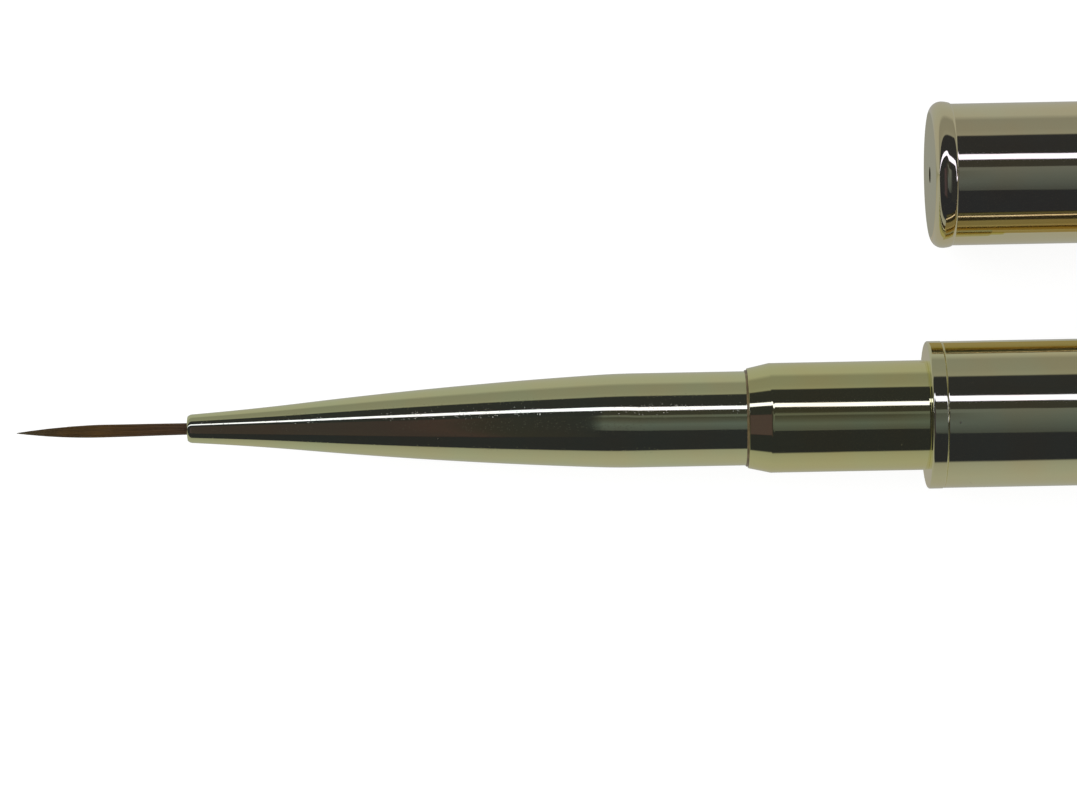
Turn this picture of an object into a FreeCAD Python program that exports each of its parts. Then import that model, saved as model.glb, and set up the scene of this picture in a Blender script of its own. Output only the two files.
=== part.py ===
"""Pocket liner brush with its cap taken off and laid beside it, in millimetres.

Every piece is turned about its own X axis, so each one is a PartDesign body with a half outline
in a sketch and one Revolution.  The front of a piece is its end towards the hair point (-X).
The row stands on z = 0 with its origin under the middle of its bounding box: brush and cap lie
parallel to X, hair point towards -X, and the cap is on the +Y side of the brush.
"""
import FreeCAD, Part

import math
import os
import re
import sys

import Sketcher

# Driving sizes.  Diameters end in _dia, and what fits inside something is worked out from it.
SIZES = [
    ("tuft_shown", 11.1, "hair ahead of the ferrule mouth"),
    ("tuft_rooted", 9.5, "hair inside the ferrule"),
    ("tuft_tip_dia", 0.08, "hair point"),
    ("tuft_belly_dia", 0.81, "thickest place of the hair"),
    ("tuft_belly_at", 6.0, "from the hair point to the thickest place"),
    ("tuft_mouth_dia", 0.73, "hair where it leaves the ferrule"),
    ("tuft_root_length", 3.0, "straight part of the tied root"),
    ("tuft_point_arc", 49.5, "arc radius from the point to the thickest place"),
    ("tuft_back_arc", 325, "arc radius from the thickest place to the mouth"),
    ("thread_dia", 0.3, "binding thread"),
    ("thread_turns", 6, "turns of thread around the root"),
    ("thread_room", 0.02, "radial room between the thread and the ferrule's bore"),
    ("thread_setback", 0.5, "from the root's rear end to the last turn of thread"),
    ("ferrule_shown", 36.2, "ferrule ahead of the sleeve"),
    ("ferrule_seat", 13, "ferrule inside the sleeve"),
    ("ferrule_wall", 0.35, "ferrule wall at its straight rear end"),
    ("ferrule_lip_dia", 1.86, "ferrule just behind its rounded nose"),
    ("ferrule_lip_round", 0.3, "outer rounding of the nose"),
    ("ferrule_lip_inner_round", 0.08, "inner rounding of the nose"),
    ("ferrule_land", 1.2, "straight bore behind the mouth"),
    ("ferrule_flare", 8.0, "from the mouth to where the taper is steepest"),
    ("ferrule_flare_dia", 3.18, "ferrule where the taper is steepest"),
    ("ferrule_flare_arc", 200, "hollow arc ahead of the steepest place"),
    ("ferrule_taper", 26.7, "from the mouth to the end of the taper"),
    ("ferrule_full_arc", 350, "full arc behind the steepest place"),
    ("ferrule_shoulder", 2.3, "length of the shoulder that ends the taper"),
    ("ferrule_shoulder_rise", 0.05, "rise in radius over the shoulder"),
    ("glue_length", 4.5, "glue that holds the hair root"),
    ("dowel_front", 20, "from the ferrule mouth to the dowel's front end"),
    ("dowel_behind", 16, "dowel behind the collar's front face"),
    ("dowel_chamfer", 0.5, "chamfer on the dowel's rear end"),
    ("sleeve_shown", 11.6, "sleeve ahead of the collar"),
    ("sleeve_seat", 6, "sleeve behind the collar's front face"),
    ("sleeve_wall", 0.49, "sleeve wall"),
    ("sleeve_step", 0.2, "shoulder that rests on the collar's front face"),
    ("sleeve_chamfer", 1.45, "length of the cone at the sleeve's mouth"),
    ("sleeve_mouth_lip", 0.1, "sleeve wall around the glue groove"),
    ("joint_glue_thick", 0.09, "glue between ferrule and sleeve mouth"),
    ("joint_glue_depth", 0.4, "glue inside the sleeve mouth"),
    ("joint_glue_bead", 0.14, "glue that stands out of the sleeve mouth"),
    ("collar_head", 1.0, "length of the collar's visible ring"),
    ("collar_proud", 0.025, "how far the ring stands out beyond the barrel"),
    ("collar_front_round", 0.15, "rounding of the ring's front edge"),
    ("collar_shank", 4, "length of the collar inside the barrel"),
    ("collar_wall", 0.89, "wall of the collar's shank"),
    ("barrel_dia", 9.5, "handle barrel"),
    ("barrel_wall", 0.49, "barrel wall"),
    ("barrel_length", 78, "barrel, seam to seam"),
    ("seam_round", 0.06, "rounding of the edges on both sides of a seam"),
    ("bush_setback", 1.2, "from the sleeve's rear end to the bush"),
    ("bush_length", 7.5, "bush that centres the dowel in the barrel"),
    ("bush_chamfer", 0.3, "chamfer on the bush"),
    ("rear_head", 1.35, "visible length of the rear plug"),
    ("rear_shank", 4, "rear plug inside the barrel"),
    ("end_round", 0.75, "rounding of both end plugs"),
    ("plug_chamfer", 0.4, "chamfer on the inner end of both end plugs"),
    ("cap_wall", 0.46, "cap tube wall"),
    ("cap_tip_room", 1.4, "room in the closed cap ahead of the hair point"),
    ("cap_head", 1.35, "visible length of the cap's end plug"),
    ("cap_head_proud", 0.155, "how far the plug's bead stands out beyond the cap"),
    ("cap_head_back_arc", 1.45, "arc radius behind the crown of the bead"),
    ("cap_shank", 2.4, "end plug inside the cap"),
    ("vent_dia", 1.0, "air hole through the cap's end plug"),
    ("liner_wall", 0.525, "wall of the cap's grip liner"),
    ("liner_length", 10.8, "length of the cap's grip liner"),
    ("liner_recess", 0.3, "liner set back inside the cap's mouth"),
    ("liner_lead", 0.25, "chamfer where the sleeve enters the liner"),
    ("press_clearance", 0.01, "radial clearance where one piece is pressed or glued in another"),
    ("slide_clearance", 0.02, "radial clearance of the sleeve in the cap's liner"),
    ("lie_gap", 6.0, "side gap between the collar and the cap's bead"),
    ("lie_offset", 0.43, "cap's end face behind the collar's front face"),
]

# Radii and places that follow from the driving sizes.  Places are along the brush's axis,
# counted from the collar's front face, or from the cap's own end face.
DERIVED = {
    "barrel_radius": "barrel_dia / 2",
    "barrel_bore": "barrel_radius - barrel_wall",
    "collar_radius": "barrel_radius + collar_proud",
    "collar_shank_radius": "barrel_bore - press_clearance",
    "collar_bore": "collar_shank_radius - collar_wall",
    "sleeve_seat_radius": "collar_bore - press_clearance",
    "sleeve_radius": "sleeve_seat_radius + sleeve_step",
    "sleeve_bore": "sleeve_radius - sleeve_wall",
    "ferrule_radius": "sleeve_bore - press_clearance",
    "ferrule_bore": "ferrule_radius - ferrule_wall",
    "mouth_bore": "tuft_mouth_dia / 2 + press_clearance",
    "bore_slope": "(ferrule_bore - mouth_bore) / (ferrule_taper - ferrule_land)",
    "binding_place": "(tuft_rooted - thread_setback - thread_turns * thread_dia)",
    "binding_bore": "mouth_bore + (binding_place - ferrule_land) * bore_slope",
    "tuft_root_radius": "binding_bore - thread_room - thread_dia",
    "dowel_radius": "ferrule_bore - press_clearance",
    "joint_glue_radius": "ferrule_radius + joint_glue_thick",
    "sleeve_mouth_radius": "joint_glue_radius + sleeve_mouth_lip",
    "liner_bore": "sleeve_radius + slide_clearance",
    "liner_radius": "liner_bore + liner_wall",
    "cap_bore": "liner_radius + press_clearance",
    "cap_radius": "cap_bore + cap_wall",
    "bead_radius": "cap_radius + cap_head_proud",
    "sleeve_front": "-sleeve_shown",
    "ferrule_front": "sleeve_front - ferrule_shown",
    "tuft_front": "ferrule_front - tuft_shown",
    "barrel_rear": "collar_head + barrel_length",
    "brush_rear": "barrel_rear + rear_head",
    "cap_tube_length": "cap_shank + cap_tip_room - tuft_front",
    "row_middle": "(tuft_front + brush_rear) / 2",
    "brush_side": "-collar_radius - bead_radius - lie_gap / 2",
}

WORD = re.compile(r"[a-z][a-z_]+")


def bound(text):
    """The expression that text stands for, with every size read from the sheet."""

    def look_up(match):
        word = match.group()
        return "(" + bound(DERIVED[word]) + ")" if word in DERIVED else "Sizes." + word

    return WORD.sub(look_up, text)


def value_of(text):
    """The present value of an expression, for the first drawing of a sketch."""
    return float(sheet.evalExpression(bound(text)))


def make_sheet(document):
    made = document.addObject("Spreadsheet::Sheet", "Sizes")
    for row, (alias, value, meaning) in enumerate(SIZES, start=1):
        made.set("A%d" % row, meaning)
        made.set("B%d" % row, str(value))
        made.setAlias("B%d" % row, alias)
    document.recompute()
    return made


def edge_between(start, end, radius):
    """A line, or the short arc of that radius: above 0 it bulges to the left of the way from
    start to end, below 0 to the right.  It also tells which of its ends is the start."""
    if not radius:
        return Part.LineSegment(start, end), 1
    way = end - start
    left = FreeCAD.Vector(-way.y, way.x, 0).normalize()
    depth = math.sqrt(radius * radius - way.Length * way.Length / 4)
    centre = (start + end) * 0.5 - left * math.copysign(depth, radius)
    first, last = (end, start) if radius > 0 else (start, end)
    angles = [math.atan2(point.y - centre.y, point.x - centre.x) for point in (first, last)]
    if angles[1] < angles[0]:
        angles[1] += 2 * math.pi
    circle = Part.Circle(centre, FreeCAD.Vector(0, 0, 1), abs(radius))
    return Part.ArcOfCircle(circle, *angles), (2 if radius > 0 else 1)


def draw_outline(sketch, corners):
    """A closed outline through corners (x, r) or (x, r, arc radius to the next corner), each
    written as an expression and bound to the sheet."""
    points = [FreeCAD.Vector(value_of(corner[0]), value_of(corner[1]), 0) for corner in corners]
    starts = []
    for index, corner in enumerate(corners):
        radius = value_of(corner[2]) if len(corner) > 2 else 0
        edge, start = edge_between(points[index], points[(index + 1) % len(points)], radius)
        sketch.addGeometry(edge, False)
        starts.append(start)
    for index, start in enumerate(starts):
        following = (index + 1) % len(starts)
        sketch.addConstraint(
            Sketcher.Constraint("Coincident", index, 3 - start, following, starts[following])
        )
    for index, corner in enumerate(corners):
        point = points[index]
        for kind, text, number in (("DistanceX", corner[0], point.x), ("DistanceY", corner[1], point.y)):
            placed = Sketcher.Constraint(kind, -1, 1, index, starts[index], number)
            sketch.setExpression("Constraints[%d]" % sketch.addConstraint(placed), bound(text))
        if len(corner) > 2:
            radius = abs(value_of(corner[2]))
            curved = Sketcher.Constraint("Radius", index, radius)
            curved_index = sketch.addConstraint(curved)
            sketch.setExpression("Constraints[%d]" % curved_index, bound(corner[2].lstrip("-")))


def turned(label, corners, on_axis, front):
    """A piece turned about X, whose local x = 0 lies at front on the brush's or the cap's axis."""
    body = doc.addObject("PartDesign::Body", label)
    body.Label = label
    sketch = body.newObject("Sketcher::SketchObject", label + "_outline")
    plane = next(item for item in body.Origin.OriginFeatures if item.Role == "XY_Plane")
    sketch.AttachmentSupport = (plane, [""])
    sketch.MapMode = "FlatFace"
    draw_outline(sketch, corners)
    turning = body.newObject("PartDesign::Revolution", label + "_turned")
    turning.Profile = (sketch, [""])
    turning.ReferenceAxis = (sketch, ["H_Axis"])
    turning.Angle = 360
    body.Tip = turning
    for direction, text in zip("xyz", on_axis(front)):
        body.setExpression("Placement.Base." + direction, bound(text))
    return body


def on_brush(front):
    return front + " - row_middle", "brush_side + collar_radius", "collar_radius"


def on_cap(front):
    return "lie_offset + " + front + " - row_middle", "-brush_side - bead_radius", "bead_radius"


def bore_at(place):
    """Radius of the ferrule's conical bore at a place counted from its mouth."""
    return "mouth_bore + (%s - ferrule_land) * bore_slope" % place


def hair_tuft():
    root_front = "tuft_shown + tuft_rooted - tuft_root_length"
    rear = "tuft_shown + tuft_rooted"
    return turned("hair_tuft", [
        ("0", "0"),
        ("0", "tuft_tip_dia / 2", "tuft_point_arc"),
        ("tuft_belly_at", "tuft_belly_dia / 2", "tuft_back_arc"),
        ("tuft_shown", "tuft_mouth_dia / 2"),
        ("tuft_shown + ferrule_land", "tuft_mouth_dia / 2"),
        (root_front, "tuft_root_radius"),
        (rear, "tuft_root_radius"),
        (rear, "0"),
    ], on_brush, "tuft_front")


def tuft_binding():
    """Turns of thread side by side around the hair root, each one showing a round back."""
    inner = "tuft_root_radius + press_clearance"
    middle = inner + " + thread_dia / 2"
    corners = [("0", inner)]
    for turn in range(int(value_of("thread_turns"))):
        corners.append(("%d * thread_dia" % turn, middle, "thread_dia * 0.6"))
    corners.append(("thread_turns * thread_dia", middle))
    corners.append(("thread_turns * thread_dia", inner))
    return turned("tuft_binding", corners, on_brush, "ferrule_front + binding_place")


def tuft_glue():
    rear_place = "(tuft_rooted + glue_length)"
    return turned("tuft_glue", [
        ("0", "0"),
        ("0", bore_at("tuft_rooted") + " - press_clearance"),
        ("glue_length", bore_at(rear_place) + " - press_clearance"),
        ("glue_length", "0"),
    ], on_brush, "ferrule_front + tuft_rooted")


def ferrule():
    rear = "ferrule_shown + ferrule_seat"
    return turned("ferrule", [
        ("ferrule_lip_inner_round", "mouth_bore", "ferrule_lip_inner_round"),
        ("0", "mouth_bore + ferrule_lip_inner_round"),
        ("0", "ferrule_lip_dia / 2 - ferrule_lip_round", "ferrule_lip_round"),
        ("ferrule_lip_round", "ferrule_lip_dia / 2", "-ferrule_flare_arc"),
        ("ferrule_flare", "ferrule_flare_dia / 2", "ferrule_full_arc"),
        ("ferrule_taper", "ferrule_radius - ferrule_shoulder_rise",
         "(ferrule_shoulder ^ 2 / ferrule_shoulder_rise / 2)"),
        ("ferrule_taper + ferrule_shoulder", "ferrule_radius"),
        (rear, "ferrule_radius"),
        (rear, "ferrule_bore"),
        ("ferrule_taper", "ferrule_bore"),
        ("ferrule_land", "mouth_bore"),
    ], on_brush, "ferrule_front")


def core_dowel():
    """Wooden dowel that stiffens the ferrule's rear half and runs back into the barrel."""
    length = "dowel_behind - ferrule_front - dowel_front"
    return turned("core_dowel", [
        ("0", "0"),
        ("0", bore_at("dowel_front") + " - press_clearance"),
        ("ferrule_taper - dowel_front", "dowel_radius"),
        (length + " - dowel_chamfer", "dowel_radius"),
        (length, "dowel_radius - dowel_chamfer"),
        (length, "0"),
    ], on_brush, "ferrule_front + dowel_front")


def joint_glue():
    """Ring of glue squeezed out where the ferrule enters the sleeve."""
    length = "joint_glue_bead + joint_glue_depth"
    inner = "ferrule_radius + press_clearance"
    outer = "joint_glue_radius - press_clearance"
    return turned("joint_glue", [
        ("0", inner),
        ("0", "(%s + %s) / 2" % (inner, outer)),
        ("joint_glue_bead / 2", outer),
        (length, outer),
        (length, inner),
    ], on_brush, "sleeve_front - joint_glue_bead")


def spigot_sleeve():
    length = "sleeve_shown + sleeve_seat"
    return turned("spigot_sleeve", [
        ("0", "joint_glue_radius"),
        ("0", "sleeve_mouth_radius"),
        ("sleeve_chamfer", "sleeve_radius"),
        ("sleeve_shown", "sleeve_radius"),
        ("sleeve_shown", "sleeve_seat_radius"),
        (length, "sleeve_seat_radius"),
        (length, "sleeve_bore"),
        ("joint_glue_depth", "sleeve_bore"),
        ("joint_glue_depth", "joint_glue_radius"),
    ], on_brush, "sleeve_front")


def collar_ring():
    rear = "collar_head + collar_shank"
    return turned("collar_ring", [
        ("0", "collar_bore"),
        ("0", "collar_radius - collar_front_round", "collar_front_round"),
        ("collar_front_round", "collar_radius"),
        ("collar_head - seam_round", "collar_radius", "seam_round"),
        ("collar_head", "collar_radius - seam_round"),
        ("collar_head", "collar_shank_radius"),
        (rear, "collar_shank_radius"),
        (rear, "collar_bore"),
    ], on_brush, "0")


def front_bush():
    outer = "barrel_bore - press_clearance"
    inner = "dowel_radius + press_clearance"
    return turned("front_bush", [
        ("0", inner),
        ("0", outer + " - bush_chamfer"),
        ("bush_chamfer", outer),
        ("bush_length", outer),
        ("bush_length", inner),
    ], on_brush, "sleeve_seat + bush_setback")


def barrel_tube():
    return turned("barrel_tube", [
        ("0", "barrel_bore"),
        ("0", "barrel_radius - seam_round", "seam_round"),
        ("seam_round", "barrel_radius"),
        ("barrel_length - seam_round", "barrel_radius", "seam_round"),
        ("barrel_length", "barrel_radius - seam_round"),
        ("barrel_length", "barrel_bore"),
    ], on_brush, "collar_head")


def rear_plug():
    shank = "barrel_bore - press_clearance"
    length = "rear_shank + rear_head"
    return turned("rear_plug", [
        ("0", "0"),
        ("0", shank + " - plug_chamfer"),
        ("plug_chamfer", shank),
        ("rear_shank", shank),
        ("rear_shank", "barrel_radius - seam_round", "seam_round"),
        ("rear_shank + seam_round", "barrel_radius"),
        (length + " - end_round", "barrel_radius", "end_round"),
        (length, "barrel_radius - end_round"),
        (length, "0"),
    ], on_brush, "barrel_rear - rear_shank")


def cap_end_plug():
    """The cap's closed end: a flat face, a bead wider than the tube and an air hole."""
    shank = "cap_bore - press_clearance"
    length = "cap_head + cap_shank"
    behind_crown = "cap_head - end_round"
    return turned("cap_end_plug", [
        ("0", "vent_dia / 2"),
        ("0", "bead_radius - end_round", "end_round"),
        ("end_round", "bead_radius", "cap_head_back_arc"),
        ("cap_head", "bead_radius - (%s) ^ 2 / cap_head_back_arc / 2" % behind_crown),
        ("cap_head", shank),
        (length + " - plug_chamfer", shank),
        (length, shank + " - plug_chamfer"),
        (length, "vent_dia / 2"),
    ], on_cap, "0")


def cap_tube():
    return turned("cap_tube", [
        ("0", "cap_bore"),
        ("0", "cap_radius - seam_round", "seam_round"),
        ("seam_round", "cap_radius"),
        ("cap_tube_length - seam_round", "cap_radius", "seam_round"),
        ("cap_tube_length", "cap_radius - seam_round"),
        ("cap_tube_length", "cap_bore"),
    ], on_cap, "cap_head")


def cap_liner():
    """Plastic sleeve inside the cap's mouth that grips the brush's spigot."""
    return turned("cap_liner", [
        ("0", "liner_bore"),
        ("0", "liner_radius"),
        ("liner_length", "liner_radius"),
        ("liner_length", "liner_bore + liner_lead"),
        ("liner_length - liner_lead", "liner_bore"),
    ], on_cap, "cap_head + cap_tube_length - liner_recess - liner_length")


PIECES = [
    hair_tuft, tuft_binding, tuft_glue, ferrule, core_dowel, joint_glue, spigot_sleeve,
    collar_ring, front_bush, barrel_tube, rear_plug, cap_end_plug, cap_tube, cap_liner,
]

doc = FreeCAD.newDocument("pocket_liner_brush")
sheet = make_sheet(doc)
bodies = [piece() for piece in PIECES]
doc.recompute()

failed = [item.Label for item in doc.Objects if {"Invalid", "Error"} & set(item.State)]
unsound = [body.Label for body in bodies if body.Shape.isNull() or not body.Shape.isValid()]
if failed or unsound:
    sys.exit("failed: %s, unsound: %s" % (failed, unsound))

os.makedirs("parts", exist_ok=True)
for body in bodies:
    body.Shape.exportStep("parts/%s.step" % body.Label)
    box = body.Shape.optimalBoundingBox()
    print("%-14s x %.3f..%.3f  y %.3f..%.3f  z %.3f..%.3f  %.3f mm3" % (
        body.Label, box.XMin, box.XMax, box.YMin, box.YMax, box.ZMin, box.ZMax, body.Shape.Volume))
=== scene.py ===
"""Looks of the pocket liner brush and its cap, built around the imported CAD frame.

Metres, in the row's frame: +X from the hair point to the handle's rear, +Y from the brush to the
cap that lies beside it, +Z up from the surface that both lie on.
"""
import math
import random

import bmesh
import bpy
from mathutils import Matrix, Vector


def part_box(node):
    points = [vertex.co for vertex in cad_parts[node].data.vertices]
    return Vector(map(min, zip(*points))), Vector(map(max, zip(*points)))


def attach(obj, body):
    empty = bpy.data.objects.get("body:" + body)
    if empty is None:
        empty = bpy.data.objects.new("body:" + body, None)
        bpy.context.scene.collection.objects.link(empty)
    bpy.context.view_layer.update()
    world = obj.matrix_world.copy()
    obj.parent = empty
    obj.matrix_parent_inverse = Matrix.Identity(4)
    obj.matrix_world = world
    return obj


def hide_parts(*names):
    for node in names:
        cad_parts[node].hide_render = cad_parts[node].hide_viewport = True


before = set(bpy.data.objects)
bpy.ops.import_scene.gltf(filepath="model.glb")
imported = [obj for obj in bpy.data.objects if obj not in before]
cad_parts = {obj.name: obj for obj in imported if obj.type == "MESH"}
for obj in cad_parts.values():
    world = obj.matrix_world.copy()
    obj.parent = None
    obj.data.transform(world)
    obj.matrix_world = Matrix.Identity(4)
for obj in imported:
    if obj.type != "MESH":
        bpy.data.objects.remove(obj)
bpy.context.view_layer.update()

MM = 0.001

# ---------------------------------------------------------------------------------------------
# Sizes that the boxes of the CAD nodes don't tell, in millimetres
# ---------------------------------------------------------------------------------------------
SEAM_ROUND = 0.06
COLLAR_FRONT_ROUND = 0.15
COLLAR_HEAD = 1.0
COLLAR_SEAM = 0.025
COLLAR_BORE = 3.36
END_ROUND = 0.75
CAP_HEAD = 1.35
CAP_HEAD_BACK_ARC = 1.685
CAP_SEAM_ARC = 0.35
CAP_SEAM = 0.004
VENT_RADIUS = 0.5
VENT_ROUND = 0.06
PLUG_CHAMFER = 0.4
PRESS_CLEARANCE = 0.01
BARREL_WALL = 0.49
CAP_WALL = 0.46
LINER_WALL = 0.525
LINER_LEAD = 0.25
SLEEVE_CHAMFER = 1.45
SLEEVE_MOUTH_RADIUS = 3.24
SLEEVE_BORE = 3.06
SLEEVE_SHOWN = 11.6
SLEEVE_EDGE = 0.04
SLEEVE_BEND = 0.12
JOINT_GLUE_DEPTH = 0.4
FERRULE_LIP_ROUND = 0.3
FERRULE_LIP_RADIUS = 0.93
FERRULE_NOSE_DROP = 0.134
FERRULE_NOSE_ARC = 0.458
FERRULE_MOUTH_BORE = 0.375
FERRULE_MOUTH_ROUND = 0.1
FERRULE_LAND = 1.2
FERRULE_WALL = 0.35
FERRULE_FLARE = 8.0
FERRULE_FLARE_RADIUS = 1.59
FERRULE_FLARE_ARC = 200
FERRULE_TAPER = 26.7
FERRULE_FULL_ARC = 350
FERRULE_SHOULDER = 2.3
FERRULE_SHOULDER_RISE = 0.05
TUFT_SHOWN = 11.1
TUFT_BELLY_AT = 6.0
TUFT_BELLY_RADIUS = 0.405
TUFT_MOUTH_RADIUS = 0.365

STEPS_AROUND = 256      # facets round a polished piece
HOLD = 0.03             # mm, support loop beside a sharp edge
ARC_STEP = math.radians(8)

# ---------------------------------------------------------------------------------------------
# Shader helpers
# ---------------------------------------------------------------------------------------------


def linear(hex_colour):
    """sRGB hex to the linear colour that Blender's sockets take."""
    parts = [int(hex_colour[i:i + 2], 16) / 255 for i in (1, 3, 5)]
    return [c / 12.92 if c <= 0.04045 else ((c + 0.055) / 1.055) ** 2.4 for c in parts] + [1.0]


def add(tree, kind, inputs=(), **settings):
    """Adds a node, gives it its settings, and sets or links its inputs."""
    node = tree.nodes.new(kind)
    for name, value in settings.items():
        setattr(node, name, value)
    for name, value in dict(inputs).items():
        if isinstance(value, bpy.types.NodeSocket):
            tree.links.new(value, node.inputs[name])
        else:
            node.inputs[name].default_value = value
    return node


def ramp(tree, factor, stops):
    """A colour ramp with the given (place, colour) stops."""
    node = add(tree, "ShaderNodeValToRGB", {"Fac": factor})
    elements = node.color_ramp.elements
    while len(elements) < len(stops):
        elements.new(1.0)
    for element, (place, colour) in zip(elements, stops):
        element.position = place
        element.color = colour if len(colour) == 4 else (*colour, 1)
    return node.outputs["Color"]


def new_material(name):
    material = bpy.data.materials.new(name)
    material.use_nodes = True
    tree = material.node_tree
    tree.nodes.clear()
    return material, tree


def grey(level):
    return (level, level, level, 1)


# ---------------------------------------------------------------------------------------------
# Materials
# ---------------------------------------------------------------------------------------------


def polished_plate(name, cool, warm, pits=0.0):
    """Brass turned smooth, buffed and electroplated pale gold: a near mirror, greenish yellow,
    cool where the plating is thin and warm where it is thick.  It has the slight waviness of
    buffing, sparse dust, a few hair scratches and, where pits is above 0, a fine pitted grain."""
    material, tree = new_material(name)
    place = add(tree, "ShaderNodeTexCoord").outputs["Object"]

    # Buffing leaves shallow waves, about 6 mm along the piece and 1 mm around it.
    along = add(tree, "ShaderNodeMapping", {"Vector": place, "Scale": (160, 900, 900)})
    waves = add(tree, "ShaderNodeTexNoise", {"Vector": along.outputs["Vector"], "Scale": 1.0,
                                             "Detail": 2.0, "Roughness": 0.45})
    # Dust: grains of about 0.09 mm, a few on each square centimetre.
    grains = add(tree, "ShaderNodeTexVoronoi", {"Vector": place, "Scale": 1 / (0.9 * MM)})
    grain = ramp(tree, grains.outputs["Distance"], [(0.03, grey(1)), (0.07, grey(0))])
    chance = add(tree, "ShaderNodeSeparateColor", {"Color": grains.outputs["Color"]})
    rare = add(tree, "ShaderNodeMath", {0: chance.outputs["Red"], 1: 0.965}, operation="GREATER_THAN")
    dust = add(tree, "ShaderNodeMath", {0: grain, 1: rare.outputs["Value"]}, operation="MULTIPLY")
    # Pits in the plating: 0.06 mm wide, gathered in patches a few millimetres across.
    cells = add(tree, "ShaderNodeTexVoronoi", {"Vector": place, "Scale": 1 / (0.15 * MM)})
    hollow = ramp(tree, cells.outputs["Distance"], [(0.0, grey(1)), (0.2, grey(0))])
    gathered = add(tree, "ShaderNodeTexNoise", {"Vector": place, "Scale": 1 / (3 * MM)})
    patch = ramp(tree, gathered.outputs["Fac"], [(0.42, grey(0)), (0.6, grey(pits))])
    pitted = add(tree, "ShaderNodeMath", {0: hollow, 1: patch}, operation="MULTIPLY")
    # Hair scratches of wiping, thin and nearly in line with the piece.
    slanted = add(tree, "ShaderNodeMapping", {"Vector": place, "Rotation": (0.0, 0.25, 0.35),
                                              "Scale": (300, 9000, 9000)})
    fine = add(tree, "ShaderNodeTexNoise", {"Vector": slanted.outputs["Vector"], "Scale": 1.0,
                                            "Detail": 3.0, "Roughness": 0.6})
    scratch = ramp(tree, fine.outputs["Fac"], [(0.66, grey(0)), (0.74, grey(0.05))])

    thickness = add(tree, "ShaderNodeTexNoise", {"Vector": place, "Scale": 1 / (4 * MM), "Detail": 2.0})
    plate = ramp(tree, thickness.outputs["Fac"], [(0.35, linear(cool)), (0.65, linear(warm))])
    colour = add(tree, "ShaderNodeMix", {"Factor": dust.outputs["Value"], "A": plate,
                                         "B": linear("#C9C3A8")}, data_type="RGBA")
    dull = add(tree, "ShaderNodeMath", {0: dust.outputs["Value"], 1: 0.30, 2: scratch},
               operation="MULTIPLY_ADD")
    roughness = add(tree, "ShaderNodeMath", {0: dull.outputs["Value"], 1: 0.045}, operation="ADD")

    wavy = add(tree, "ShaderNodeBump", {"Height": waves.outputs["Fac"], "Distance": 0.004 * MM})
    hollowed = add(tree, "ShaderNodeBump", {"Height": pitted.outputs["Value"], "Distance": 0.006 * MM,
                                            "Normal": wavy.outputs["Normal"]})
    dusty = add(tree, "ShaderNodeBump", {"Height": dust.outputs["Value"], "Distance": 0.008 * MM,
                                         "Normal": hollowed.outputs["Normal"]})
    surface = add(tree, "ShaderNodeBsdfPrincipled", {
        "Base Color": colour.outputs["Result"], "Metallic": 1.0,
        "Roughness": roughness.outputs["Value"], "Normal": dusty.outputs["Normal"]})
    add(tree, "ShaderNodeOutputMaterial", {"Surface": surface.outputs["BSDF"]})
    return material


def sable_hair():
    """Dressed red sable: fine straight hairs, red brown in the middle and nearly black at the
    point, with a soft streaked gloss along each hair."""
    material, tree = new_material("sable_hair")
    place = add(tree, "ShaderNodeTexCoord").outputs["Object"]
    x = add(tree, "ShaderNodeSeparateXYZ", {"Vector": place}).outputs["X"]
    lo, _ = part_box("hair_tuft")
    along = add(tree, "ShaderNodeMapRange", {"Value": x, "From Min": lo.x,
                                             "From Max": lo.x + TUFT_SHOWN * MM})
    body = ramp(tree, along.outputs["Result"], [
        (0.0, linear("#4C4633")), (0.12, linear("#493C26")), (0.3, linear("#4B381C")),
        (0.5, linear("#4E391B")), (0.75, linear("#4A3620")), (1.0, linear("#473625"))])
    strands = add(tree, "ShaderNodeMapping", {"Vector": place, "Scale": (250, 22000, 22000)})
    streaks = add(tree, "ShaderNodeTexNoise", {"Vector": strands.outputs["Vector"], "Scale": 1.0,
                                               "Detail": 2.0, "Roughness": 0.6})
    light = ramp(tree, streaks.outputs["Fac"], [(0.35, grey(0.65)), (0.65, grey(1.35))])
    colour = add(tree, "ShaderNodeMix", {"Factor": 1.0, "A": body, "B": light},
                 data_type="RGBA", blend_type="MULTIPLY")
    bump = add(tree, "ShaderNodeBump", {"Height": streaks.outputs["Fac"], "Strength": 0.4,
                                        "Distance": 0.01 * MM})
    surface = add(tree, "ShaderNodeBsdfPrincipled", {
        "Base Color": colour.outputs["Result"], "Roughness": 0.42, "Specular IOR Level": 0.22,
        "IOR": 1.55, "Normal": bump.outputs["Normal"]})
    add(tree, "ShaderNodeOutputMaterial", {"Surface": surface.outputs["BSDF"]})
    return material


def set_glue(name, colours):
    """Glue that has set: dark, uneven in colour, with a wet-looking surface."""
    material, tree = new_material(name)
    place = add(tree, "ShaderNodeTexCoord").outputs["Object"]
    lumps = add(tree, "ShaderNodeTexNoise", {"Vector": place, "Scale": 1 / (0.5 * MM), "Detail": 4.0})
    colour = ramp(tree, lumps.outputs["Fac"], [(0.35, linear(colours[0])), (0.65, linear(colours[1]))])
    bump = add(tree, "ShaderNodeBump", {"Height": lumps.outputs["Fac"], "Strength": 0.5,
                                        "Distance": 0.04 * MM})
    surface = add(tree, "ShaderNodeBsdfPrincipled", {
        "Base Color": colour, "Roughness": 0.3, "Normal": bump.outputs["Normal"]})
    add(tree, "ShaderNodeOutputMaterial", {"Surface": surface.outputs["BSDF"]})
    return material


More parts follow.
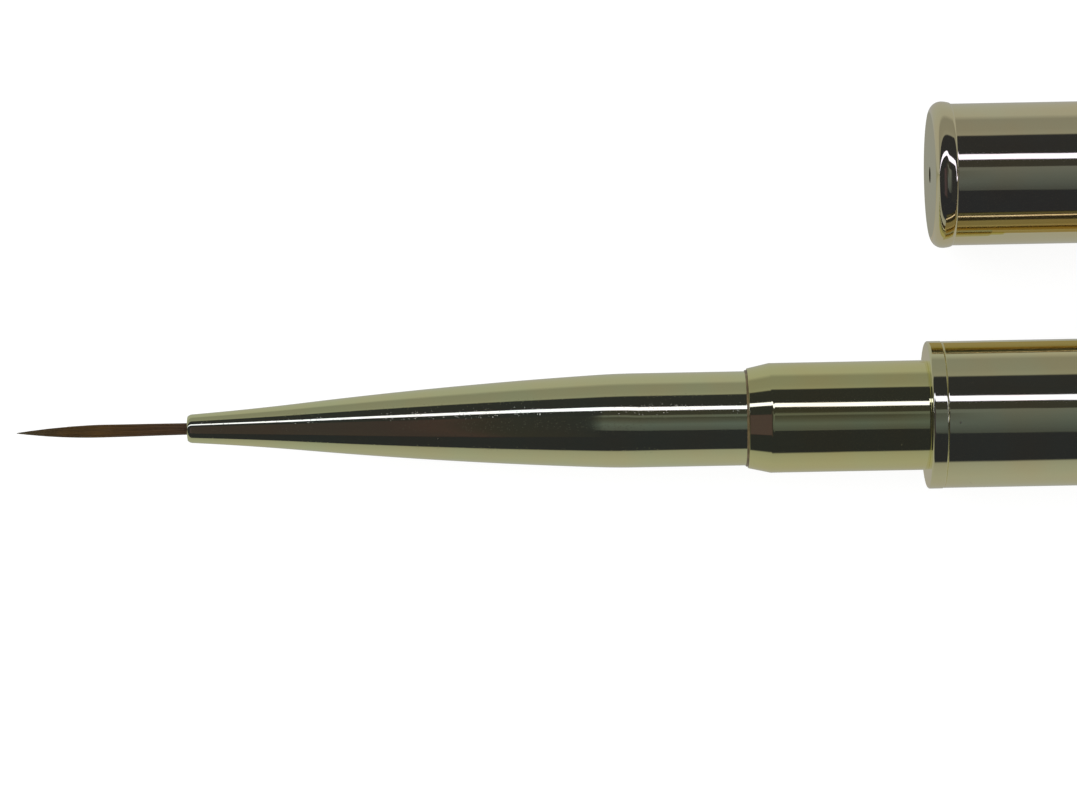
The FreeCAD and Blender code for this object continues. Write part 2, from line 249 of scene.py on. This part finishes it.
def moulded_nylon():
    """Black nylon as it leaves the mould: a fine even grain of about 0.1 mm, dull."""
    material, tree = new_material("moulded_nylon")
    place = add(tree, "ShaderNodeTexCoord").outputs["Object"]
    grain = add(tree, "ShaderNodeTexNoise", {"Vector": place, "Scale": 1 / (0.1 * MM), "Detail": 2.0})
    colour = ramp(tree, grain.outputs["Fac"], [(0.3, linear("#1B1B1C")), (0.7, linear("#262627"))])
    bump = add(tree, "ShaderNodeBump", {"Height": grain.outputs["Fac"], "Strength": 0.3,
                                        "Distance": 0.01 * MM})
    surface = add(tree, "ShaderNodeBsdfPrincipled", {
        "Base Color": colour, "Roughness": 0.5, "IOR": 1.53, "Normal": bump.outputs["Normal"]})
    add(tree, "ShaderNodeOutputMaterial", {"Surface": surface.outputs["BSDF"]})
    return material


def drilled_brass():
    """Bare brass left by the drill: dull and coloured near black, which darkens the hole, finely mottled
    at about 0.08 mm."""
    material, tree = new_material("drilled_brass")
    place = add(tree, "ShaderNodeTexCoord").outputs["Object"]
    mottle = add(tree, "ShaderNodeTexNoise", {"Vector": place, "Scale": 1 / (0.08 * MM), "Detail": 2.0})
    colour = ramp(tree, mottle.outputs["Fac"], [(0.3, linear("#241E14")), (0.7, linear("#3A3020"))])
    surface = add(tree, "ShaderNodeBsdfPrincipled", {"Base Color": colour, "Metallic": 1.0,
                                                     "Roughness": 0.55})
    add(tree, "ShaderNodeOutputMaterial", {"Surface": surface.outputs["BSDF"]})
    return material


def beech_dowel():
    """Turned beech: pale brown, with fine darker flecks that run along the dowel."""
    material, tree = new_material("beech_dowel")
    place = add(tree, "ShaderNodeTexCoord").outputs["Object"]
    grain = add(tree, "ShaderNodeMapping", {"Vector": place, "Scale": (120, 3000, 3000)})
    flecks = add(tree, "ShaderNodeTexNoise", {"Vector": grain.outputs["Vector"], "Scale": 1.0,
                                              "Detail": 4.0})
    colour = ramp(tree, flecks.outputs["Fac"], [(0.35, linear("#A87C50")), (0.65, linear("#C79F71"))])
    surface = add(tree, "ShaderNodeBsdfPrincipled", {"Base Color": colour, "Roughness": 0.6})
    add(tree, "ShaderNodeOutputMaterial", {"Surface": surface.outputs["BSDF"]})
    return material


def waxed_thread():
    """Waxed linen thread: cream, twisted, with the strands showing as slanted lines."""
    material, tree = new_material("waxed_thread")
    place = add(tree, "ShaderNodeTexCoord").outputs["Object"]
    twist = add(tree, "ShaderNodeMapping", {"Vector": place, "Rotation": (0, 0, 0.6),
                                            "Scale": (1 / (0.1 * MM),) * 3})
    strands = add(tree, "ShaderNodeTexWave", {"Vector": twist.outputs["Vector"], "Scale": 1.0,
                                              "Distortion": 2.0})
    colour = ramp(tree, strands.outputs["Fac"], [(0.2, linear("#9E8E6C")), (0.8, linear("#D9CBA6"))])
    surface = add(tree, "ShaderNodeBsdfPrincipled", {"Base Color": colour, "Roughness": 0.55})
    add(tree, "ShaderNodeOutputMaterial", {"Surface": surface.outputs["BSDF"]})
    return material


# ---------------------------------------------------------------------------------------------
# Turned pieces
# ---------------------------------------------------------------------------------------------


def between(start, end, arc):
    """Points from start (left out) to end (kept) along the short arc of that radius, which bulges
    to the left of the way if it is above 0 and to the right if it is below."""
    start, end = Vector(start), Vector(end)
    way = end - start
    left = Vector((-way.y, way.x)).normalized()
    half = way.length / 2
    depth = math.sqrt(max(arc * arc - half * half, 0.0))
    centre = (start + end) / 2 - left * math.copysign(depth, arc)
    spread = 2 * math.asin(min(half / abs(arc), 1.0))
    count = max(6, math.ceil(spread / ARC_STEP), min(24, round(way.length)))
    turn = -math.copysign(spread / count, arc)
    return [centre + Matrix.Rotation(turn * (step + 1), 2) @ (start - centre) for step in range(count)]


def outline_points(corners):
    """Corners (x, r) or (x, r, arc to the next corner) as a closed line of points.  Each straight
    stretch gets a point just inside both of its ends, which keeps the edges beside it crisp."""
    points = []
    for index, corner in enumerate(corners):
        start, end = Vector(corner[:2]), Vector(corners[(index + 1) % len(corners)][:2])
        if len(corner) > 2:
            points.extend(between(start, end, corner[2]))
            continue
        way = end - start
        if way.length > 3 * HOLD:
            points.append(start + way.normalized() * HOLD)
            points.append(end - way.normalized() * HOLD)
        points.append(end)
    return points


def turned(name, node, body, slot, material, corners):
    """A piece turned about the X axis of its CAD node.  Corners are in millimetres, x from the
    node's front end and r from its axis."""
    lo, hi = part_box(node)
    centre = (lo + hi) / 2
    bm = bmesh.new()
    line = [bm.verts.new((lo.x + x * MM, centre.y, centre.z + r * MM))
            for x, r in outline_points(corners)]
    edges = [bm.edges.new((a, b)) for a, b in zip(line, line[1:] + line[:1]) if a is not b]
    bmesh.ops.spin(bm, geom=line + edges, cent=(0, centre.y, centre.z), axis=(1, 0, 0),
                   angle=2 * math.pi, steps=STEPS_AROUND, use_merge=True)
    bmesh.ops.remove_doubles(bm, verts=bm.verts, dist=1e-7)
    on_axis = [edge for edge in bm.edges if not edge.link_faces]
    bmesh.ops.delete(bm, geom=on_axis, context="EDGES")
    bmesh.ops.recalc_face_normals(bm, faces=bm.faces)
    return finished(name, bm, body, slot, material, node)


def finished(name, bm, body, slot, material, *nodes):
    """Makes the object of a piece, smooth, ties it to its body and hides its CAD nodes; the slot is not
    used.
    """
    mesh = bpy.data.meshes.new(name)
    bm.to_mesh(mesh)
    bm.free()
    mesh.polygons.foreach_set("use_smooth", [True] * len(mesh.polygons))
    mesh.materials.append(material)
    piece = bpy.data.objects.new(name, mesh)
    bpy.context.scene.collection.objects.link(piece)
    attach(piece, body)
    if nodes:
        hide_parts(*nodes)
    return piece


def half_height(node):
    lo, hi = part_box(node)
    return min(hi.y - lo.y, hi.z - lo.z) / 2 / MM


def length(node):
    lo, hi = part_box(node)
    return (hi.x - lo.x) / MM


def turned_ferrule(plate):
    rear = half_height("ferrule")
    total = length("ferrule")
    return turned("turned_ferrule", "ferrule", "brush", "plated_brass", plate, [
        (FERRULE_MOUTH_ROUND, FERRULE_MOUTH_BORE, FERRULE_MOUTH_ROUND),
        (0, FERRULE_MOUTH_BORE + FERRULE_MOUTH_ROUND),
        (0, FERRULE_LIP_RADIUS - FERRULE_NOSE_DROP, FERRULE_NOSE_ARC),
        (FERRULE_LIP_ROUND, FERRULE_LIP_RADIUS, -FERRULE_FLARE_ARC),
        (FERRULE_FLARE, FERRULE_FLARE_RADIUS, FERRULE_FULL_ARC),
        (FERRULE_TAPER, rear - FERRULE_SHOULDER_RISE,
         FERRULE_SHOULDER ** 2 / FERRULE_SHOULDER_RISE / 2),
        (FERRULE_TAPER + FERRULE_SHOULDER, rear),
        (total, rear),
        (total, rear - FERRULE_WALL),
        (FERRULE_TAPER, rear - FERRULE_WALL),
        (FERRULE_LAND, FERRULE_MOUTH_BORE),
    ])


def turned_sleeve(plate):
    radius = half_height("spigot_sleeve")
    total = length("spigot_sleeve")
    return turned("turned_sleeve", "spigot_sleeve", "brush", "plated_brass", plate, [
        (0, SLEEVE_BORE + 0.08),
        (0, SLEEVE_MOUTH_RADIUS - SLEEVE_EDGE, SLEEVE_EDGE),
        (SLEEVE_EDGE, SLEEVE_MOUTH_RADIUS),
        (SLEEVE_CHAMFER - SLEEVE_BEND, radius - 0.025, 0.6),
        (SLEEVE_CHAMFER + SLEEVE_BEND, radius),
        (SLEEVE_SHOWN, radius),
        (SLEEVE_SHOWN, COLLAR_BORE - PRESS_CLEARANCE),
        (total, COLLAR_BORE - PRESS_CLEARANCE),
        (total, SLEEVE_BORE),
        (JOINT_GLUE_DEPTH, SLEEVE_BORE),
        (JOINT_GLUE_DEPTH, SLEEVE_BORE + 0.08),
    ])


def turned_collar(plate):
    radius = half_height("collar_ring")
    total = length("collar_ring")
    shank = half_height("barrel_tube") - BARREL_WALL - PRESS_CLEARANCE
    return turned("turned_collar", "collar_ring", "brush", "plated_brass", plate, [
        (0, COLLAR_BORE),
        (0, radius - COLLAR_FRONT_ROUND, COLLAR_FRONT_ROUND),
        (COLLAR_FRONT_ROUND, radius),
        (COLLAR_HEAD - COLLAR_SEAM - SEAM_ROUND, radius, SEAM_ROUND),
        (COLLAR_HEAD - COLLAR_SEAM, radius - SEAM_ROUND),
        (COLLAR_HEAD - COLLAR_SEAM, shank),
        (total, shank),
        (total, COLLAR_BORE),
    ])


def turned_tube(name, node, body, plate, wall):
    radius = half_height(node)
    total = length(node)
    return turned(name, node, body, "plated_brass", plate, [
        (0, radius - wall),
        (0, radius - SEAM_ROUND, SEAM_ROUND),
        (SEAM_ROUND, radius),
        (total - SEAM_ROUND, radius, SEAM_ROUND),
        (total, radius - SEAM_ROUND),
        (total, radius - wall),
    ])


def turned_rear_plug(plate):
    radius = half_height("rear_plug")
    shank = radius - BARREL_WALL - PRESS_CLEARANCE
    total = length("rear_plug")
    seam = total - CAP_HEAD
    return turned("turned_rear_plug", "rear_plug", "brush", "plated_brass", plate, [
        (0, 0),
        (0, shank - PLUG_CHAMFER),
        (PLUG_CHAMFER, shank),
        (seam, shank),
        (seam, radius - SEAM_ROUND, SEAM_ROUND),
        (seam + SEAM_ROUND, radius),
        (total - END_ROUND, radius, END_ROUND),
        (total, radius - END_ROUND),
        (total, 0),
    ])


def turned_cap_plug(plate, bore):
    """The closed end with its bead.  Its air hole is drilled after plating and left as it is."""
    bead = half_height("cap_end_plug")
    shank = half_height("cap_tube") - CAP_WALL - PRESS_CLEARANCE
    total = length("cap_end_plug")
    lean_in, lean_out = math.radians(15), math.radians(42)
    bend = END_ROUND + CAP_HEAD_BACK_ARC * math.sin(lean_in)
    fall = CAP_HEAD_BACK_ARC * (1 - math.cos(lean_in))
    drop = fall + CAP_SEAM_ARC * (math.cos(lean_in) - math.cos(lean_out))
    plug = turned("turned_cap_plug", "cap_end_plug", "cap", "plated_brass", plate, [
        (VENT_ROUND, VENT_RADIUS, VENT_ROUND),
        (0, VENT_RADIUS + VENT_ROUND),
        (0, bead - END_ROUND, END_ROUND),
        (END_ROUND, bead, CAP_HEAD_BACK_ARC),
        (bend, bead - fall, CAP_SEAM_ARC),
        (CAP_HEAD - CAP_SEAM, bead - drop),
        (CAP_HEAD - CAP_SEAM, shank),
        (total - PLUG_CHAMFER, shank),
        (total, shank - PLUG_CHAMFER),
        (total, VENT_RADIUS),
    ])
    lo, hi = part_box("cap_end_plug")
    axis = (lo + hi) / 2
    plug.data.materials.append(bore)
    for face in plug.data.polygons:
        off = face.center - axis
        if math.hypot(off.y, off.z) < (VENT_RADIUS + VENT_ROUND / 2) * MM:
            face.material_index = 1
    return plug


def moulded_liner(nylon):
    radius = half_height("cap_liner")
    bore = radius - LINER_WALL
    total = length("cap_liner")
    return turned("moulded_liner", "cap_liner", "cap", "grip_plastic", nylon, [
        (0, bore),
        (0, radius),
        (total, radius),
        (total, bore + LINER_LEAD),
        (total - LINER_LEAD, bore),
    ])


def glue_ring(glue):
    """Glue squeezed out between ferrule and sleeve: a narrow ring with a rounded front edge."""
    outer = half_height("joint_glue")
    inner = half_height("ferrule") + 0.01
    total = length("joint_glue")
    return turned("glue_ring", "joint_glue", "brush", "joint_glue", glue, [
        (0, inner),
        (0.0, (inner + outer) / 2, 0.08),
        (0.07, outer),
        (total, outer),
        (total, inner),
    ])


# ---------------------------------------------------------------------------------------------
# Hair
# ---------------------------------------------------------------------------------------------
HAIRS = 330
HAIR_RADIUS = 0.020         # mm, at its thickest
HAIR_SEED = 11


def tuft_radius(s):
    """Outer radius of the dressed hair at s mm behind its point."""
    if s < TUFT_BELLY_AT:
        return TUFT_BELLY_RADIUS * (1 - (1 - s / TUFT_BELLY_AT) ** 2) ** 0.9 + 0.02
    back = (s - TUFT_BELLY_AT) / (TUFT_SHOWN - TUFT_BELLY_AT)
    return TUFT_BELLY_RADIUS + (TUFT_MOUTH_RADIUS - TUFT_BELLY_RADIUS) * min(back, 1) ** 1.5


def tuft_middle(s):
    """How far the dressed hair's middle lies to -Y of the axis: the point droops slightly."""
    ahead = max(0.0, 1 - s / TUFT_SHOWN)
    return -0.085 * ahead ** 2.2 - 0.03 * math.sin(math.pi * min(s / TUFT_SHOWN, 1))


def hair_tuft_piece(hair):
    """Single hairs round a solid core, all gathered into one fine point."""
    lo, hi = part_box("hair_tuft")
    axis_y, axis_z = (lo.y + hi.y) / 2, (lo.z + hi.z) / 2
    rear = TUFT_SHOWN + 1.0
    rng = random.Random(HAIR_SEED)

    core = bmesh.new()
    rings = 48
    around = 24
    ring = bmesh.ops.create_circle(core, cap_ends=False, radius=1.0, segments=around)["verts"]
    bmesh.ops.rotate(core, verts=ring, matrix=Matrix.Rotation(math.pi / 2, 3, "Y"))
    edges = list({edge for vert in ring for edge in vert.link_edges})
    for step in range(rings + 1):
        s = rear * (step / rings) ** 1.4
        radius = max(0.9 * tuft_radius(s) - 0.012, 0.010) * MM
        place = Vector((lo.x + (s + 0.08) * MM, axis_y + tuft_middle(s) * MM, axis_z))
        if step:
            grown = bmesh.ops.extrude_edge_only(core, edges=edges)["geom"]
            ring = [item for item in grown if isinstance(item, bmesh.types.BMVert)]
            edges = [item for item in grown if isinstance(item, bmesh.types.BMEdge)]
        middle = sum((vert.co for vert in ring), Vector()) / around
        for vert in ring:
            out = (vert.co - middle).normalized()
            vert.co = place + out * radius

    curve = bpy.data.curves.new("hairs", "CURVE")
    curve.dimensions = "3D"
    curve.bevel_depth = HAIR_RADIUS * MM
    curve.bevel_resolution = 0
    curve.resolution_u = 3
    for _ in range(HAIRS):
        turn = rng.uniform(0, 2 * math.pi)
        depth = math.sqrt(rng.uniform(0.45, 1.0))
        tip = abs(rng.gauss(0, 1)) * 0.4 if rng.random() < 0.75 else rng.uniform(0.4, 4.5)
        wander = rng.gauss(0, 0.05)
        spline = curve.splines.new("NURBS")
        count = 8
        spline.points.add(count - 1)
        for index, point in enumerate(spline.points):
            share = index / (count - 1)
            s = tip + (rear - tip) * share ** 1.15
            radius = max(tuft_radius(s) * depth - HAIR_RADIUS * 0.5, 0.0)
            angle = turn + wander * math.sin(2.5 * share + turn)
            point.co = (lo.x + s * MM, axis_y + (tuft_middle(s) + radius * math.cos(angle)) * MM,
                        axis_z + radius * math.sin(angle) * MM, 1)
            point.radius = min(1.0, 0.25 + 2.2 * share) * (1.0 - 0.2 * share)
        spline.order_u = 3
        spline.use_endpoint_u = True
    holder = bpy.data.objects.new("hairs", curve)
    bpy.context.scene.collection.objects.link(holder)
    bpy.context.view_layer.update()
    strands = bpy.data.meshes.new_from_object(holder)
    bpy.data.objects.remove(holder)
    bpy.data.curves.remove(curve)
    core.from_mesh(strands)
    bpy.data.meshes.remove(strands)
    bmesh.ops.recalc_face_normals(core, faces=core.faces)
    return finished("dressed_hair", core, "brush", "sable_hair", hair, "hair_tuft")


# ---------------------------------------------------------------------------------------------
# Surroundings: floor, world, lamp and camera
# ---------------------------------------------------------------------------------------------
# Where polished metal sees the tube beside it, in mm from where that tube lies, and how many times as
# tall.  They are set so that each gold band falls in its place on the plating, and don't stand for one
# real arrangement of brush and cap.
BRUSH_RISE, BRUSH_STRETCH = 3.7, 1.24
CAP_FALL, CAP_STRETCH = 11.3, 1.9
FOLD_DEPTH = 0.03                   # how far the screen's folds shift it, as a share of a half turn
LAMP_LEVEL = (1.5, 1.5, 2.6, 1)     # the strip lamp as polished metal sees it


def white_floor():
    """A large white table top, which keeps a faint soft shadow.  Polished metal doesn't see it: the
    room of studio_world takes its place there, in a darker tone of its own."""
    material, tree = new_material("white_table")
    paper = add(tree, "ShaderNodeBsdfDiffuse", {"Color": grey(0.93)})
    glow = add(tree, "ShaderNodeEmission", {"Color": grey(1), "Strength": 1.1})
    mixed = add(tree, "ShaderNodeMixShader", {"Fac": 0.8, 1: paper.outputs["BSDF"],
                                              2: glow.outputs["Emission"]})
    add(tree, "ShaderNodeOutputMaterial", {"Surface": mixed.outputs["Shader"]})
    bm = bmesh.new()
    bmesh.ops.create_grid(bm, x_segments=1, y_segments=1, size=3.0)
    mesh = bpy.data.meshes.new("table_top")
    bm.to_mesh(mesh)
    bm.free()
    mesh.materials.append(material)
    floor = bpy.data.objects.new("table_top", mesh)
    floor.location = (0, 0, -0.00002)
    floor.visible_glossy = False
    bpy.context.scene.collection.objects.link(floor)


def turn(degrees):
    """A direction all round the brush, 0 overhead, 90 toward the cap: -180 to 180 as 0 to 1."""
    return degrees / 360 + 0.5


def lean(degrees):
    """A direction's lean from overhead, -90 to 90 as 0 to 1."""
    return degrees / 180 + 0.5


def studio_world():
    """White to the eye and plain to dull surfaces.  Polished metal sees an invented room in their place,
    in bands of tone by direction: grey table and walls, a dark ceiling, one narrow strip lamp, and a
    grey-green screen beside it.  The bands are set for the overhead camera, and under plain light the
    plating is much paler than they make it."""
    world = bpy.data.worlds.new("studio")
    bpy.context.scene.world = world
    world.use_nodes = True
    tree = world.node_tree
    tree.nodes.clear()
    rays = add(tree, "ShaderNodeLightPath")
    way = add(tree, "ShaderNodeTexCoord").outputs["Generated"]
    parts = add(tree, "ShaderNodeSeparateXYZ", {"Vector": way})

    def maths(operation, *values):
        return add(tree, "ShaderNodeMath", dict(enumerate(values)), operation=operation).outputs["Value"]

    up = maths("MAXIMUM", parts.outputs["Z"], 0.02)
    side = maths("DIVIDE", parts.outputs["Y"], up)
    ahead = maths("DIVIDE", parts.outputs["X"], up)
    around = maths("MULTIPLY_ADD", maths("ARCTAN2", parts.outputs["Y"], parts.outputs["Z"]),
                   1 / (2 * math.pi), 0.5)
    forward = maths("MULTIPLY_ADD", maths("ARCTANGENT", ahead), 1 / math.pi, 0.5)
    # Lamp and screen run aslant over the handle and straight over the ferrule.
    slant = maths("SUBTRACT", ramp(tree, forward, [
        (lean(-9), grey(0.0)), (lean(0), grey(0.04)), (lean(5), grey(0.125)), (lean(9.5), grey(0.18)),
        (lean(31), grey(0.28)), (lean(50), grey(0.50)), (lean(63), grey(0.90))]), 0.04)
    aslant = maths("MULTIPLY_ADD", maths("ARCTANGENT", maths("ADD", side, slant)), 1 / math.pi, 0.5)

    dark, gap = (0.0285, 0.030, 0.042), (0.042, 0.042, 0.046)
    low_dark = (0.0245, 0.0262, 0.040)
    black = grey(0)
    # Straight down lie two shades a few degrees apart.  The overhead camera sees the first in the
    # cap's end face and the second in the collar's.
    by_cap, by_collar = (0.293, 0.296, 0.262), (0.380, 0.360, 0.312)
    # The screen's folds show as streaks in its edges.
    folds = add(tree, "ShaderNodeMapping", {"Vector": way, "Scale": (14, 30, 30)})
    fold = add(tree, "ShaderNodeTexNoise", {"Vector": folds.outputs["Vector"], "Scale": 1.0,
                                            "Detail": 2.0}).outputs["Fac"]
    folded = maths("ADD", aslant, maths("MULTIPLY_ADD", fold, FOLD_DEPTH, -FOLD_DEPTH / 2))
    room = ramp(tree, around, [
        (turn(-180), by_cap), (turn(-178.5), by_cap), (turn(-177.2), by_collar),
        (turn(-173), by_collar), (turn(-171), grey(0.385)), (turn(-112), grey(0.38)),
        (turn(-88), grey(0.345)), (turn(-78), grey(0.315)), (turn(-75), low_dark),
        (turn(-30), low_dark), (turn(20), dark), (turn(64.5), dark), (turn(66.5), grey(0.29)),
        (turn(76), grey(0.262)), (turn(99), grey(0.255)), (turn(109), grey(0.39)),
        (turn(140), grey(0.40)), (turn(177), grey(0.386)), (turn(178.5), by_cap),
        (turn(180), by_cap)])
    # Each of these is named for the piece that shows it to the overhead camera.
    over_ferrule = ramp(tree, folded, [
        (lean(-22), black), (lean(-20.5), (0.080, 0.090, 0.118)), (lean(-6), (0.109, 0.131, 0.168)),
        (lean(5), (0.076, 0.080, 0.092)), (lean(11), (0.056, 0.060, 0.064)),
        (lean(12.5), (0.123, 0.135, 0.160)), (lean(16.3), (0.115, 0.125, 0.145)),
        (lean(17.6), gap), (lean(28), gap), (lean(29), black)])
    over_handle = ramp(tree, folded, [
        (lean(-22), black), (lean(-20.5), (0.068, 0.076, 0.094)), (lean(-10), (0.090, 0.104, 0.126)),
        (lean(0), (0.110, 0.126, 0.150)), (lean(10), (0.130, 0.146, 0.172)),
        (lean(16.3), (0.142, 0.155, 0.182)), (lean(17.6), gap), (lean(28), gap), (lean(29), black)])
    over_tip = ramp(tree, forward, [
        (lean(-40), dark), (lean(-26), (0.077, 0.053, 0.078)), (lean(-18.5), (0.075, 0.052, 0.074)),
        (lean(-17), (0.050, 0.040, 0.050)), (lean(-12), (0.048, 0.037, 0.050)),
        (lean(-10.5), (0.058, 0.039, 0.050)), (lean(-8.8), (0.036, 0.034, 0.040)), (lean(-5), dark)])
    over_cone = ramp(tree, aslant, [
        (lean(-44), grey(0)), (lean(-37), grey(1)), (lean(16), grey(1)), (lean(18), grey(0))])
    over_bevel = ramp(tree, aslant, [
        (lean(-38), grey(0)), (lean(-35), grey(1)), (lean(8), grey(1)), (lean(10), grey(0))])
    ahead_of_cone = ramp(tree, forward, [(lean(-18.5), grey(1)), (lean(-17.5), grey(0))])
    by_handle = ramp(tree, forward, [(lean(5.3), grey(0)), (lean(6.3), grey(1))])
    behind_tip = ramp(tree, forward, [
        (lean(-4.88), grey(0)), (lean(-4.82), grey(1)), (lean(14), grey(1)), (lean(22), grey(0))])
    lamp = ramp(tree, aslant, [
        (lean(28.2), grey(0)), (lean(29.2), grey(1)), (lean(36.0), grey(1)), (lean(37.0), grey(0))])
    above = maths("GREATER_THAN", parts.outputs["Z"], 0.03)

    def blend(factor, one, other, kind="MIX"):
        return add(tree, "ShaderNodeMix", {"Factor": factor, "A": one, "B": other},
                   data_type="RGBA", blend_type=kind).outputs["Result"]

    screen = blend(by_handle, over_ferrule, over_handle)
    tip_side = blend(blend(ahead_of_cone, over_cone, over_bevel), black, over_tip)
    screens = blend(behind_tip, tip_side, screen)
    ceiling = blend(above, room, blend(1.0, room, screens, "LIGHTEN"))
    lit = blend(maths("MULTIPLY", lamp, above), ceiling, LAMP_LEVEL)

    in_metal = add(tree, "ShaderNodeBackground", {"Color": lit})
    plain = add(tree, "ShaderNodeBackground", {"Color": grey(1), "Strength": 0.8})
    white = add(tree, "ShaderNodeBackground", {"Color": grey(1), "Strength": 1.0})
    dull = add(tree, "ShaderNodeMixShader", {"Fac": rays.outputs["Is Glossy Ray"],
                                             1: plain.outputs["Background"],
                                             2: in_metal.outputs["Background"]})
    seen = add(tree, "ShaderNodeMixShader", {"Fac": rays.outputs["Is Camera Ray"],
                                             1: dull.outputs["Shader"], 2: white.outputs["Background"]})
    add(tree, "ShaderNodeOutputWorld", {"Surface": seen.outputs["Shader"]})


def glimpsed_plate():
    """Stands in for the plating as the other tube shows it, in a warmer gold: buffed from outside and
    clear from inside."""
    material, tree = new_material("glimpsed_plate")
    gold = add(tree, "ShaderNodeBsdfAnisotropic", {"Color": linear("#E2CD92"), "Roughness": 0.15})
    clear = add(tree, "ShaderNodeBsdfTransparent")
    inside = add(tree, "ShaderNodeNewGeometry").outputs["Backfacing"]
    mixed = add(tree, "ShaderNodeMixShader", {"Fac": inside, 1: gold.outputs["BSDF"],
                                              2: clear.outputs["BSDF"]})
    add(tree, "ShaderNodeOutputMaterial", {"Surface": mixed.outputs["Shader"]})
    return material


def glimpsed_tube(name, node, head, rise, stretch, plate):
    """A hidden tube that only reflections show, in place of the tube at node with the head in front
    of it: rise mm higher than that one, and stretch times as tall."""
    lo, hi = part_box(node)
    lo.x -= head * MM
    radius = (hi.z - lo.z) / 2
    bm = bmesh.new()
    bmesh.ops.create_cone(
        bm, cap_ends=False, segments=STEPS_AROUND, radius1=radius, radius2=radius,
        depth=hi.x - lo.x,
        matrix=Matrix.Translation((lo + hi) / 2 + Vector((0, 0, rise * MM)))
        @ Matrix.Diagonal((1, 1, stretch, 1)) @ Matrix.Rotation(math.pi / 2, 4, "Y"))
    mesh = bpy.data.meshes.new(name)
    bm.to_mesh(mesh)
    bm.free()
    mesh.polygons.foreach_set("use_smooth", [True] * len(mesh.polygons))
    mesh.materials.append(plate)
    tube = bpy.data.objects.new(name, mesh)
    tube.visible_camera = tube.visible_diffuse = tube.visible_shadow = False
    bpy.context.scene.collection.objects.link(tube)


def soft_lamp():
    """One broad overhead lamp, which gives the hair its form.  The metal doesn't show it."""
    lamp = bpy.data.lights.new("soft_lamp", "AREA")
    lamp.shape = "SQUARE"
    lamp.size = 0.35
    lamp.energy = 1.3
    holder = bpy.data.objects.new("soft_lamp", lamp)
    holder.location = (-0.25, 0.2, 0.45)
    holder.rotation_euler = (-holder.location).to_track_quat("-Z", "Y").to_euler()
    holder.visible_glossy = False
    holder.visible_camera = False
    bpy.context.scene.collection.objects.link(holder)


def overhead_camera():
    """Straight down from about 26 cm, with a long lens and the brush rising 1 degree to the right."""
    collar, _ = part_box("collar_ring")
    axis_lo, axis_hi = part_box("barrel_tube")
    axis = (axis_lo + axis_hi) / 2
    face = Vector((collar.x, axis.y, axis.z))
    aim = face + Vector((-25.08, 1.21, 0)) * MM
    eye = face + Vector((-24.83, 15.97, 260.3)) * MM
    roll = math.radians(1.08)
    forward = (aim - eye).normalized()
    right = forward.cross(Vector((math.sin(roll), math.cos(roll), 0))).normalized()
    up = right.cross(forward)
    camera = bpy.data.cameras.new("overhead")
    camera.lens = 134.7
    camera.sensor_width = 36
    camera.clip_start, camera.clip_end = 0.01, 20
    holder = bpy.data.objects.new("overhead", camera)
    holder.matrix_world = Matrix((right, up, -forward)).transposed().to_4x4()
    holder.location = eye
    bpy.context.scene.collection.objects.link(holder)
    bpy.context.scene.camera = holder


# ---------------------------------------------------------------------------------------------
# The brush and its cap
# ---------------------------------------------------------------------------------------------
handle_plate = polished_plate("plated_handle", "#EBEAB9", "#EFE6B2")
sleeve_plate = polished_plate("plated_sleeve", "#EBEBAA", "#EFE7A3")
ferrule_plate = polished_plate("plated_ferrule", "#E9EEB7", "#EFEBB2", pits=0.6)
cap_plate = polished_plate("plated_cap", "#EDE8BE", "#F1E4B6")
hair = sable_hair()
nylon = moulded_nylon()
turned_ferrule(ferrule_plate)
turned_sleeve(sleeve_plate)
turned_collar(handle_plate)
barrel = turned_tube("turned_barrel", "barrel_tube", "brush", handle_plate, BARREL_WALL)
rear_plug = turned_rear_plug(handle_plate)
cap_plug = turned_cap_plug(cap_plate, drilled_brass())
cap_tube = turned_tube("turned_cap_tube", "cap_tube", "cap", cap_plate, CAP_WALL)
liner = moulded_liner(nylon)
glue_ring(set_glue("dark_joint_glue", ("#4E4229", "#6B5C3C")))
hair_tuft_piece(hair)

for node, material in (("tuft_glue", set_glue("amber_root_glue", ("#5E3A16", "#8A5A26"))),
                       ("tuft_binding", waxed_thread()),
                       ("core_dowel", beech_dowel()),
                       ("front_bush", nylon)):
    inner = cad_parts[node]
    inner.data.materials.clear()
    inner.data.materials.append(material)

# Brush and cap reflect hidden tubes and not each other.  What lies inside a tube is hidden from
# reflections with it, or it would show.  The hidden tubes stay where they are when the cap moves.
for piece in (barrel, rear_plug, cap_plug, cap_tube, liner,
              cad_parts["front_bush"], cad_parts["core_dowel"]):
    piece.visible_glossy = False
metal_seen = glimpsed_plate()
glimpsed_tube("brush_in_cap", "barrel_tube", COLLAR_HEAD, BRUSH_RISE, BRUSH_STRETCH, metal_seen)
glimpsed_tube("cap_in_brush", "cap_tube", CAP_HEAD - END_ROUND, -CAP_FALL, CAP_STRETCH, metal_seen)
white_floor()
studio_world()
soft_lamp()
overhead_camera()
bpy.context.scene.view_settings.view_transform = "Standard"
